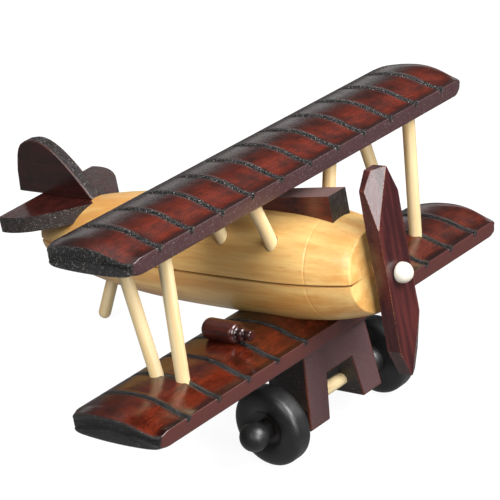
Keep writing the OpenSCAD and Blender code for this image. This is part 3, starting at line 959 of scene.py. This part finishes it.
@dataclass
class Fuselage:
    """The turned body: a fat cigar with a flat nose, a saw line along each side, a seat for
    the tailplane and four drilled holes for the cabane struts."""

    material: Material
    length: float = 164.8
    radius: float = 21.3
    nose: float = 15.8
    tail: float = 9.4
    peak: float = 42.5
    kerf: float = 0.8
    kerf_depth: float = 1.3
    hole: float = 2.75
    ring: float = 17.5
    ring_half: float = 0.35
    nose_ease: float = 0.7
    tail_ease: float = 0.6
    seat: tuple = ((-111, -8), (-118, -24.3), (-146, -24.3), (-146, -8))
    seat_half: float = 24.0

    def radius_at(self, s: float) -> float:
        """Radius at a distance behind the nose."""
        if s < self.peak:
            share = (self.peak - s) / self.peak
            return self.radius - (self.radius - self.nose) * share ** 2.5
        share = (s - self.peak) / (self.length - self.peak)
        return self.radius - (self.radius - self.tail) * share ** 3.5

    def outline(self) -> np.ndarray:
        """The turned outline, with a faint ring and softened ends."""
        ease, end_ease = self.nose_ease, self.tail_ease
        round_nose = [(-ease * (1 - math.cos(a)), self.nose - ease * (1 - math.sin(a)))
                      for a in np.linspace(0, math.pi / 2, 5)]
        places = [self.ring - self.ring_half, self.ring, self.ring + self.ring_half,
                  *np.arange(1.4, self.length - 0.8, 1.7)]
        rest = [(-s, self.radius_at(s) - (0.12 if s == self.ring else 0.0))
                for s in sorted(places)]
        end = [(-self.length + end_ease * (1 - math.sin(a)),
                self.tail - end_ease * (1 - math.cos(a)))
               for a in np.linspace(0, math.pi / 2, 4)]
        return np.array([(0, POINT), (0, self.nose * 0.5)] + round_nose + rest + end
                        + [(-self.length, POINT)])

    def angles(self, radius: float) -> np.ndarray:
        """Even angles, with four close ones about each side for the saw line."""
        wide = min(0.5 * self.kerf / max(radius, 2.0), 0.08)
        lip = min(0.12 / max(radius, 2.0), 0.03)
        near = np.array([-wide - lip, -wide + lip, wide - lip, wide + lip])
        step = 2 * math.pi / 120
        free = np.arange(2, 59) * step
        return np.concatenate([near, free, near + math.pi, free + math.pi])

    def saw(self, mesh: Mesh) -> None:
        """Sinks the two middle points of each saw line on every ring."""
        co = points_of(mesh)
        radius = np.hypot(co[:, 1], co[:, 2])
        inside = (np.abs(co[:, 2]) < 0.5 * self.kerf - 0.04) & (radius > self.nose * 0.5)
        behind = smooth(-co[:, 0], -0.5, 1.0)
        depth = np.where(inside, self.kerf_depth * (0.35 + 0.65 * behind), 0.0)
        scale = (radius - depth) / np.maximum(radius, 1e-6)
        co[:, 1] *= scale
        co[:, 2] *= scale
        mesh.vertices.foreach_set("co", co.ravel())
        mesh.update()

    def cutters(self) -> list[Object]:
        """The seat's prism and the cabane drills, in the row frame."""
        sides = (-self.seat_half, self.seat_half)
        rings = np.array([[(x, y, z) for x, z in self.seat] for y in sides])
        prism = mesh_of("seat", *skin(rings))
        prism.transform(PLANE.matrix())
        made = [carrier_of(prism)]
        reach, below = 40, -30
        bit = Turning("drill", np.array([(0, POINT), (0, self.hole), (reach, self.hole),
                                         (reach, POINT)]),
                      self.material, Slot.TURNED, sides=40)
        for x in CABANE_X:
            for side in (PORT, STARBOARD):
                low, high = (Vector(cabane_point(x, side, z)) for z in (below, 0))
                mesh = bit.rings()
                bit.stand(mesh, low, high - low)
                mesh.transform(PLANE.matrix())
                made.append(carrier_of(mesh))
        return made

    def shade(self, co: np.ndarray) -> np.ndarray:
        """Painted shade in the saw lines and the drilled holes, and a little darker end grain
        on the flat nose.

        Args:
            co: the body's points, in its own frame.

        Returns:
            The mask's value at each point.
        """
        radius = np.hypot(co[:, 1], co[:, 2])
        full = np.array([self.radius_at(s) for s in np.clip(-co[:, 0], 0, self.length)])
        deep = smooth(full - radius, 0.5, 1.1)
        # On the flat nose only the two notches that the saw left in its rim get painted shade
        notch = (np.abs(co[:, 2]) < 0.45 * self.kerf) & (radius > 0.8 * self.nose)
        notch = notch * smooth(self.nose - radius, 0.2, 0.6)
        deep = np.where(co[:, 0] > -self.kerf, notch, deep)
        nose_face = smooth(co[:, 0], -0.35, -0.05)
        # The tailplane fills its seat, so that the sawn face stays pale
        seat = smooth(-co[:, 0], 139.0, 141.0)
        return np.clip(0.8 * deep * (1 - seat) + 0.04 * nose_face, 0, 1)

    def build(self) -> Object:
        """Turns, saws and drills the body and sets it in place."""
        turning = Turning("fuselage", self.outline(), self.material, Slot.TURNED)
        mesh = turning.rings(self.angles)
        self.saw(mesh)
        mesh.transform(BODY.matrix())
        carrier = carrier_of(mesh)
        tools = self.cutters()
        for tool in tools:
            cut = carrier.modifiers.new("cut", "BOOLEAN")
            cut.operation, cut.object, cut.solver = "DIFFERENCE", tool, "EXACT"
        mesh = evaluated(carrier)
        for tool in tools:
            bpy.data.objects.remove(tool)
        mesh.shade_smooth()
        mesh.set_sharp_from_angle(angle=math.radians(35))
        mesh.transform(BODY.matrix().inverted())
        co = points_of(mesh)
        store(mesh, grain=co, shade=self.shade(co))
        return turning.set_down(mesh, BODY)


@dataclass
class Dowel:
    """A straight round dowel, drawn between two points of the plane's frame."""

    node: str
    start: tuple[float, float, float]
    end: tuple[float, float, float]
    radius: float
    material: Material

    def build(self, rule: Rule) -> Object:
        """Draws the dowel and sets it in place.

        Args:
            rule: the dowel rule.

        Returns:
            The dowel.
        """
        carrier = carrier_of(bpy.data.meshes.new(self.node))
        rule.apply(carrier, From=self.start, To=self.end, Radius=self.radius,
                   Finish=self.material)
        ease = carrier.modifiers.new("ease", "BEVEL")
        ease.limit_method, ease.angle_limit = "ANGLE", math.radians(50)
        ease.width, ease.segments = 0.35, 2
        mesh = evaluated(carrier)
        mesh.shade_smooth()
        mesh.set_sharp_from_angle(angle=math.radians(40))
        axis = Vector(self.end) - Vector(self.start)
        level = axis.to_track_quat("X", "Z").to_matrix().inverted()
        co = (points_of(mesh) - np.array(self.start)) @ np.array(level).T
        ends = np.minimum(co[:, 0], axis.length - co[:, 0])
        store(mesh, grain=co + np.array([len(self.node) * 61.0, 0, 0]),
              shade=0.25 * (1 - smooth(ends, 0.0, 0.4)))
        return deliver(self.node, mesh, PLANE, (self.node,), "airframe",
                       self.material)


@dataclass
class Wheel:
    """A turned wheel: round tread, raised rim, dished middle and a boss towards the leg."""

    side: int
    material: Material
    centre: tuple[float, float, float]
    radius: float = 15.1
    width: float = 9.4
    bore: float = 2.56
    boss: float = 6.0
    boss_end: float = -9.8

    def outline(self) -> np.ndarray:
        """The wheel's outline: (along the axle outwards, radius)."""
        half = self.width / 2
        shoulder = bend((-half, self.radius - 3.4), (-half, self.radius - 0.7),
                        (-half + 1.0, self.radius), (-half + 2.9, self.radius), 10)
        crown = bend((half - 3.2, self.radius), (half - 1.0, self.radius - 0.1),
                     (half, self.radius - 1.6), (half, self.radius - 4.4), 12)
        face = bend((half, self.radius - 4.4), (half + 0.05, 9.2), (half - 0.2, 8.2),
                    (half - 0.7, 7.4), 6)
        dish = bend((half - 0.7, 7.4), (half - 1.3, 6.6), (half - 1.9, 6.3),
                    (half - 1.9, 5.4), 6)
        parts = [[(self.boss_end, self.bore), (self.boss_end, self.boss - 0.4),
                  (self.boss_end + 0.4, self.boss), (-half, self.boss)],
                 shoulder, crown, face[1:], dish[1:], [(half - 1.9, self.bore)]]
        return np.concatenate([np.array(p, float) for p in parts])

    def build(self) -> Object:
        """Turns the wheel with an open bore and sets it on the axle."""
        name = "wheel_port" if self.side == PORT else "wheel_starboard"
        line = self.outline()
        turn = np.linspace(0, 2 * math.pi, 112, endpoint=False)
        count, size = len(line), len(turn)
        verts = np.array([(a, r * math.cos(t), r * math.sin(t)) for a, r in line
                          for t in turn])
        faces = [(i * size + k, i * size + (k + 1) % size,
                  (i + 1) % count * size + (k + 1) % size, (i + 1) % count * size + k)
                 for i in range(count) for k in range(size)]
        mesh = mesh_of(name, verts, faces)
        mesh.set_sharp_from_angle(angle=math.radians(45))
        co = points_of(mesh)
        radius = np.hypot(co[:, 1], co[:, 2])
        dished = smooth(co[:, 0], 1.5, 2.5) * (1 - smooth(radius, 5.2, 7.6))
        corner = np.exp(-((radius - 13.2) / 0.9) ** 2) * smooth(co[:, 0], 3.0, 4.4)
        store(mesh, grain=co[:, [1, 2, 0]], worn=0.5 * dished + 0.1 * corner)
        place = Matrix.Translation(self.centre) @ Matrix.Rotation(
            self.side * math.pi / 2, 4, "Z")
        mesh.transform(place)
        return deliver(name, mesh, PLANE, (name,), name, self.material)


# ---------------------------------------------------------------- sawn pieces


@dataclass
class Board:
    """A sawn piece: its CAD solid with coplanar faces joined and its long edges eased.

    Args:
        node: the CAD node it stands for.
        material: its finish.
        ease: width of the eased edges, in millimetres.
        along: which axis of the plane's frame its grain follows, 0, 1 or 2.
        body: the CAD body it rides on.
        masks: gives the masks from the faces' normals and which faces are eased edges.
        own: the frame that its grain and its masks are read in.
        shortest: length of the shortest edge that is eased, in millimetres.
        sharp: angle in degrees from which an edge is eased.
    """

    node: str
    material: Material
    ease: float
    along: int
    masks: Callable[[np.ndarray, np.ndarray], dict[str, np.ndarray]]
    body: str = "airframe"
    own: OwnFrame = field(default_factory=lambda: PLANE)
    shortest: float = 1.1
    sharp: float = 22.0

    def build(self) -> Object:
        """Eases the edges, marks the faces and sets the piece in place."""
        source = frame["nodes"][self.node].data
        work = bmesh.new()
        work.from_mesh(source)
        work.transform(self.own.matrix().inverted())
        bmesh.ops.remove_doubles(work, verts=work.verts, dist=0.002)
        bmesh.ops.dissolve_limit(work, angle_limit=math.radians(0.6), verts=work.verts,
                                 edges=work.edges)
        rims = [e for e in work.edges
                if len(e.link_faces) == 2 and e.calc_length() > self.shortest
                and e.calc_face_angle(0.0) > math.radians(self.sharp)]
        eased = bmesh.ops.bevel(work, geom=rims, offset=self.ease, segments=3,
                                profile=0.6, affect="EDGES", clamp_overlap=True)
        bmesh.ops.triangulate(work, faces=[f for f in work.faces if len(f.verts) > 4])
        for face in work.faces:
            face.smooth = False
        for face in eased["faces"]:
            if face.is_valid:
                face.smooth = True
        rim = np.array([1.0 if f.smooth else 0.0 for f in work.faces])
        normals = np.array([tuple(f.normal) for f in work.faces])
        mesh = bpy.data.meshes.new(self.node + "_eased")
        work.to_mesh(mesh)
        work.free()
        for name, values in self.masks(normals, rim).items():
            layer = mesh.attributes.new(name, "FLOAT", "FACE")
            layer.data.foreach_set("value", np.asarray(values, np.float32))
        co = points_of(mesh)
        order = [self.along] + [i for i in range(3) if i != self.along]
        store(mesh, grain=co[:, order] + np.array([len(self.node) * 47.0, 0, 0]))
        return deliver(self.node, mesh, self.own, (self.node,), self.body,
                       self.material)


# ---------------------------------------------------------------- sub-assemblies


@dataclass
class WingCell:
    """The two wings with their outer struts and the cabane struts."""

    finishes: Finishes
    seat: float = 4.0
    cabane_foot: float = -26.0
    upper_span: float = 187.6
    lower_span: float = 198.8
    outer_groove: float = 16.2
    front_strut: tuple = ((-15, 67.3, -50), (-9.8, 68.6, 0))
    rear_strut: tuple = ((-26.7, 68.1, -50), (-35, 66.8, 0))

    def line(self, ends: tuple, side: int, low: float) -> tuple[tuple, tuple]:
        """A strut's axis, carried on into both wings and mirrored for starboard."""
        a, b = (Vector(p) for p in ends)
        along = (b - a).normalized()
        out = (a - along * low, b + along * self.seat)
        return tuple((p.x, p.y * side, p.z) for p in out)

    def build(self, grooves: Rule, dowels: Rule) -> None:
        """Carves the wings and sets the struts between them.

        Args:
            grooves: the groove rule.
            dowels: the dowel rule.
        """
        RibbedWing("upper_wing", self.finishes.wing, 43.3, self.upper_span, 0.0, 0.0,
                   (GrooveRun(-5 * RibbedWing.pitch, 11),)).build(grooves)
        outer = self.lower_span / 2 - self.outer_groove
        runs = (GrooveRun(-outer, 5), GrooveRun(outer - 4 * RibbedWing.pitch, 5))
        RibbedWing("lower_wing", self.finishes.lower, 44.4, self.lower_span, 1.4, 60.2,
                   runs, glow_reach=0.9, sanded=0.45).build(grooves)
        for side, word in ((PORT, "port"), (STARBOARD, "starboard")):
            ends = {"strut_front": self.line(self.front_strut, side, self.seat),
                    "strut_rear": self.line(self.rear_strut, side, self.seat)}
            for place, x in zip(("front", "rear"), CABANE_X):
                ends[f"cabane_{place}"] = tuple(cabane_point(x, side, z)
                                                for z in (self.cabane_foot, self.seat))
            for kind, (low, high) in ends.items():
                Dowel(f"{kind}_{word}", low, high, ROD, self.finishes.dowel).build(dowels)


def block_masks(normals: np.ndarray, rim: np.ndarray) -> dict[str, np.ndarray]:
    """Masks of the undercarriage block: matt front with a painted pale reflection, black
    sides and rubbed edges.
    """
    front = smooth(normals[:, 0], 0.6, 0.9) * (1 - rim)
    inner = smooth(np.abs(normals[:, 1]), 0.6, 0.9) * (1 - rim)
    return {"dull": 0.9 * front, "burn": 0.7 * inner, "worn": 0.4 * rim, "glow": 0 * rim}


def cockpit_masks(normals: np.ndarray, rim: np.ndarray) -> dict[str, np.ndarray]:
    """Masks of the cockpit block: red sides and a charred front end."""
    front = smooth(normals[:, 0], 0.6, 0.9)
    side = smooth(np.abs(normals[:, 1]), 0.6, 0.9)
    top = smooth(normals[:, 2], 0.8, 0.95)
    # The top is matt, with a painted pale reflection of a lamp overhead
    return {"dull": top, "burn": 0.85 * front * (1 - rim), "worn": 0.35 * rim,
            "glow": 0.8 * side}


def tail_masks(normals: np.ndarray, rim: np.ndarray) -> dict[str, np.ndarray]:
    """Masks shared by the tail boards: broad faces wiped thin, eased edges matt and rubbed
    with a faint painted pale reflection; each board adds its charred, rough sawn edges.
    """
    return {"dull": 0.25 * rim, "worn": 0.2 * rim, "glow": 0.25 * (1 - rim),
            "burn": 0 * rim}


@dataclass
class Tail:
    """The fin, the tailplane and the skid."""

    finishes: Finishes
    skid_top: tuple = (-112.6, 0.0, -46.5)
    lean: float = 30.0

    def fin_masks(self, normals: np.ndarray, rim: np.ndarray) -> dict[str, np.ndarray]:
        """Masks of the upright fin, whose broad faces look sideways."""
        made = tail_masks(normals, rim)
        made["burn"] = 0.75 * (1 - smooth(np.abs(normals[:, 1]), 0.5, 0.8)) * (1 - rim)
        return made

    def plane_masks(self, normals: np.ndarray, rim: np.ndarray) -> dict[str, np.ndarray]:
        """Masks of the level tailplane, whose broad faces look up and down."""
        made = tail_masks(normals, rim)
        made["burn"] = 0.75 * (1 - smooth(np.abs(normals[:, 2]), 0.5, 0.8)) * (1 - rim)
        made["glow"] = 0.6 * (1 - rim)
        return made

    def build(self) -> None:
        """Sets the tail's boards and the skid in place."""
        Board("fin", self.finishes.tail, 0.7, 0, self.fin_masks).build()
        Board("tailplane", self.finishes.tail, 0.8, 1, self.plane_masks).build()
        top = Vector(self.skid_top)
        lean = math.radians(self.lean)
        down = Vector((-math.sin(lean), 0, -math.cos(lean)))
        height = (PLANE.matrix() @ top).z / MM
        length = (height - ROD) / math.cos(lean - PLANE.lean)
        tip = [(length + ROD * math.sin(a), ROD * math.cos(a))
               for a in np.linspace(0, math.pi / 2, 9)]
        body = [(s, ROD) for s in np.linspace(0, length - 0.5, 16)]
        skid = Turning("tail_skid", np.array([(0, POINT)] + body + tip),
                       self.finishes.dowel, Slot.DOWEL, sides=40)
        mesh = skid.rings()
        co = points_of(mesh)
        store(mesh, grain=co, shade=0 * co[:, 0])
        skid.stand(mesh, tuple(top), down)
        skid.set_down(mesh, PLANE)


@dataclass
class Undercarriage:
    """The block with its arch, the axle, the wheels and the balls that keep them on."""

    finishes: Finishes
    wheel_y: float = 31.5
    ball_y: float = 41.4
    ball: float = 5.5
    neck: float = 3.8
    neck_start: float = 34.8

    def build(self, dowels: Rule) -> None:
        """Sets the undercarriage in place.

        Args:
            dowels: the dowel rule.
        """
        x, z = AXLE_X, AXLE_Z
        Board("gear_block", self.finishes.block, 0.55, 2, block_masks).build()
        Dowel("axle", (x, -self.ball_y, z), (x, self.ball_y, z), ROD,
              self.finishes.dowel).build(dowels)
        reach, start, ease = math.asin(self.neck / self.ball), self.neck_start, 0.2
        line = [(start, POINT), (start, ROD + 0.02), (start, self.neck - ease),
                (start + ease, self.neck),
                (self.ball_y - self.ball * math.cos(reach), self.neck)]
        line += [(self.ball_y - self.ball * math.cos(a), self.ball * math.sin(a))
                 for a in np.linspace(reach + 0.06, math.pi, 26)]
        for side, word in ((PORT, "port"), (STARBOARD, "starboard")):
            Wheel(side, self.finishes.black, (x, side * self.wheel_y, z)).build()
            ball = Turning(f"axle_ball_{word}", np.array(line),
                           self.finishes.black, Slot.BLACK, sides=64)
            mesh = ball.rings()
            mesh.set_sharp_from_angle(angle=math.radians(50))
            co = points_of(mesh)
            store(mesh, grain=co[:, [1, 2, 0]] + np.array([90.0, 0, 0]),
                  worn=0.12 * smooth(co[:, 0], 43.0, 47.0))
            ball.stand(mesh, (x, 0, z), Vector((0, side, 0)))
            ball.set_down(mesh, PLANE)


@dataclass
class Nose:
    """The propeller, the shaft that it turns on and the cap that keeps it there."""

    finishes: Finishes
    socket: float = 14.0
    thin: float = 2.0
    in_cap: float = 2.4
    ease: float = 0.2
    gap: float = 3.9
    blade: float = 5.9
    play: float = 0.3
    cap: float = 3.8
    skirt: float = 1.2

    def blade_masks(self, normals: np.ndarray, rim: np.ndarray) -> dict[str, np.ndarray]:
        """Masks of the propeller: a painted grey reflection on the pared facets, and rubbed
        edges.
        """
        facet = (normals[:, 0] > 0.5) & (normals[:, 0] < 0.97) & (rim < 0.5)
        return {"glow": 1.0 * facet, "worn": 0.8 * rim, "dull": 0 * rim, "burn": 0 * rim}

    def build(self) -> None:
        """Sets the nose's pieces in place."""
        Board("propeller", self.finishes.blade, 0.4, 2, self.blade_masks, "propeller",
              BODY).build()
        front = self.gap + self.blade
        shoulder, end = self.gap - self.play, front + self.in_cap
        shaft = Turning("propeller_shaft", np.array([
            (-self.socket, POINT), (-self.socket, ROD), (shoulder - self.ease, ROD),
            (shoulder, ROD - self.ease), (shoulder, self.thin), (end - self.ease, self.thin),
            (end, self.thin - self.ease), (end, POINT)]),
            self.finishes.dowel, Slot.DOWEL, sides=48)
        mesh = shaft.rings()
        mesh.set_sharp_from_angle(angle=math.radians(40))
        co = points_of(mesh)
        store(mesh, grain=co, shade=0 * co[:, 0])
        shaft.set_down(mesh, BODY)
        base = front + self.play
        dome = [(base + self.skirt + self.cap * math.sin(a), self.cap * math.cos(a))
                for a in np.linspace(0, math.pi / 2, 18)]
        cap = Turning("spinner_cap", np.array(
            [(base, POINT), (base, self.cap - 0.35), (base + 0.3, self.cap)] + dome),
            self.finishes.cream, Slot.WHITE, sides=56)
        mesh = cap.rings()
        co = points_of(mesh)
        store(mesh, grain=co, worn=0.15 * smooth(co[:, 0], base + 3.0, base + 5.0))
        cap.set_down(mesh, BODY)


@dataclass
class Guns:
    """The two stubby guns glued along the lower wing."""

    finishes: Finishes
    radius: float = 4.1
    length: float = 22.3
    jacket: float = 15.6
    back: float = -30.8
    apart: float = 36.4
    flat: float = 0.8
    back_ease: float = 2.5
    wing_top: float = -49.3

    def outline(self) -> np.ndarray:
        """The turned outline, from the round back to the muzzle."""
        ease = self.back_ease
        round_back = [(ease - ease * math.cos(a), self.radius - ease + ease * math.sin(a))
                      for a in np.linspace(0, math.pi / 2, 9)]
        side = [(s, self.radius) for s in np.linspace(3.2, self.jacket - 1.9, 8)]
        # Beads and necks past the jacket's end: how far past it, and the radius there
        beads = [(-1.4, 4.1), (-0.7, 3.9), (-0.2, 3.4), (0.05, 2.9), (0.2, 1.8), (0.9, 1.7),
                 (1.1, 2.4), (1.4, 2.6), (2.8, 2.6), (3.1, 2.4), (3.4, 1.6), (4.1, 1.5),
                 (4.5, 1.9), (4.8, 2.0)]
        # The muzzle's eased rim: how far short of the gun's end, and the radius there
        muzzle = [(0.5, 2.0), (0.15, 1.8), (0, 1.4), (0, POINT)]
        return np.array([(0, POINT)] + round_back + side
                        + [(self.jacket + s, r) for s, r in beads]
                        + [(self.length - s, r) for s, r in muzzle])

    def build(self) -> None:
        """Turns the guns, flattens their undersides and sets them in place."""
        line = self.outline()
        for side, word in ((PORT, "port"), (STARBOARD, "starboard")):
            gun = Turning(f"gun_{word}", line, self.finishes.gun, Slot.STAINED, sides=64)
            mesh = gun.rings()
            co = points_of(mesh)
            co[:, 2] = np.maximum(co[:, 2], self.flat - self.radius)
            mesh.vertices.foreach_set("co", co.ravel())
            mesh.update()
            ends = smooth(co[:, 0], self.jacket - 1.2, self.jacket)
            store(mesh, grain=co + np.array([side * 70.0, 0, 0]), glow=0.5 * (1 - ends),
                  burn=0 * ends, dull=0 * ends, worn=0 * ends)
            height = self.wing_top + self.radius - self.flat
            mesh.transform(Matrix.Translation((self.back, side * self.apart, height)))
            gun.set_down(mesh, PLANE)


# ---------------------------------------------------------------- stage


@dataclass
class Studio:
    """A plain white table, soft light from all round, four soft boxes and the camera.

    Args:
        reach: radius of the table, in metres.
        height: height of the wall around it, in metres.
        sides: how many straight sides the wall has.
        aim: the point that the soft boxes look at, in metres.
        eye: the camera's place, in metres.
        tilt: the camera's turns about X, Y and Z, in degrees.
        lens: its focal length, in millimetres.
    """

    reach: float = 4.0
    height: float = 3.0
    sides: int = 48
    aim: tuple = (0, 0, 0.06)
    eye: tuple = (0.478102, -0.545513, 0.472374)
    tilt: tuple = (59.9102, -0.4239, 40.2196)
    lens: float = 160.46

    def paint(self) -> Material:
        """Matt white with a light of its own, so that it looks even all over."""
        white = bpy.data.materials.new("white_table")
        white.use_nodes = True
        shader = white.node_tree.nodes["Principled BSDF"]
        shader.inputs["Base Color"].default_value = (0.12, 0.12, 0.12, 1)
        shader.inputs["Roughness"].default_value = 1.0
        shader.inputs["Specular IOR Level"].default_value = 0.0
        shader.inputs["Emission Color"].default_value = (1, 1, 1, 1)
        shader.inputs["Emission Strength"].default_value = 0.93
        return white

    def floor(self) -> None:
        """A round white table and the white wall that goes around it."""
        reach, sides = self.reach, self.sides
        turn = np.linspace(0, 2 * math.pi, sides, endpoint=False)
        rim = np.stack([reach * np.cos(turn), reach * np.sin(turn), 0 * turn], 1)
        disc = [tuple(range(sides))]
        wall = [(i, (i + 1) % sides, sides + (i + 1) % sides, sides + i)
                for i in range(sides)]
        tube = np.concatenate([rim, rim + (0, 0, self.height)])
        white = self.paint()
        for name, verts, faces in (("floor", rim, disc), ("wall", tube, wall)):
            mesh = mesh_of(name, verts, faces)
            mesh.materials.append(white)
            made = bpy.data.objects.new(name, mesh)
            made.visible_diffuse = made.visible_glossy = False
            made.visible_shadow = name == "floor"
            bpy.context.scene.collection.objects.link(made)

    def surroundings(self) -> None:
        """A dim horizon between a bright ceiling and the light that the table sends up."""
        world = bpy.data.worlds.new("surroundings")
        world.use_nodes = True
        tree = world.node_tree
        way = add(tree, "ShaderNodeTexCoord", out="Generated")
        height = add(tree, "ShaderNodeSeparateXYZ", inputs={0: way}, out="Z")
        above = ramp(tree, height, 0.4, 0.95, start=0.09, end=0.8, soft=True)
        below = ramp(tree, height, -0.1, -0.9, start=0.0, end=0.22, soft=True)
        light = maths(tree, "ADD", above, below)
        tree.links.new(light, tree.nodes["Background"].inputs["Strength"])
        tree.nodes["Background"].inputs["Color"].default_value = (1, 1, 1, 1)
        bpy.context.scene.world = world

    def lights(self) -> None:
        """The soft boxes: a key over the nose, two fills and a low strip behind, each by
        its place and size in metres and its power in watts."""
        for name, place, size, power in (
                ("key", (0.75, 0.2, 1.0), (0.55, 0.55), 17.0),
                ("fill", (0.0, -1.1, 0.95), (0.7, 0.7), 12.0),
                ("front", (1.2, -0.4, 0.6), (0.5, 0.5), 9.5),
                ("low backdrop", (-1.15, 1.05, 0.1), (1.8, 0.2), 0.7)):
            light = bpy.data.lights.new(name, "AREA")
            light.shape = "RECTANGLE"
            light.size, light.size_y = size
            light.energy = power
            made = bpy.data.objects.new(name, light)
            made.location = place
            aim = Vector(self.aim) - Vector(place)
            made.rotation_euler = aim.to_track_quat("-Z", "Y").to_euler()
            bpy.context.scene.collection.objects.link(made)

    def camera(self) -> None:
        """A long lens from ahead, to starboard and above."""
        lens = bpy.data.cameras.new("camera")
        lens.lens, lens.sensor_width = self.lens, 36.0
        lens.clip_start, lens.clip_end = 0.05, 20.0
        made = bpy.data.objects.new("camera", lens)
        made.location = self.eye
        made.rotation_euler = [math.radians(a) for a in self.tilt]
        bpy.context.scene.collection.objects.link(made)
        bpy.context.scene.camera = made

    def build(self) -> None:
        """Sets the stage."""
        bpy.context.scene.view_settings.view_transform = "Standard"
        self.floor()
        self.surroundings()
        self.lights()
        self.camera()


def keep_hidden(finishes: Finishes) -> None:
    """Gives the dowels and pegs inside the glued joints their wood."""
    for node in ("wing_dowels", "gear_dowels", "fin_dowel", "cockpit_dowel", "gun_pegs"):
        mesh = frame["nodes"][node].data
        mesh.materials.clear()
        mesh.materials.append(finishes.hidden)


def main() -> None:
    """Builds the plane piece by piece, then the stage."""
    logging.basicConfig(level=logging.INFO, format="%(name)s %(message)s")
    finishes = Finishes()
    grooves, dowels = groove_rule(), dowel_rule()
    WingCell(finishes).build(grooves, dowels)
    Fuselage(finishes.body).build()
    Board("cockpit_block", finishes.cockpit, 0.5, 0, cockpit_masks).build()
    Tail(finishes).build()
    Undercarriage(finishes).build(dowels)
    Nose(finishes).build()
    Guns(finishes).build()
    keep_hidden(finishes)
    Studio().build()


if __name__ == "__main__":
    main()
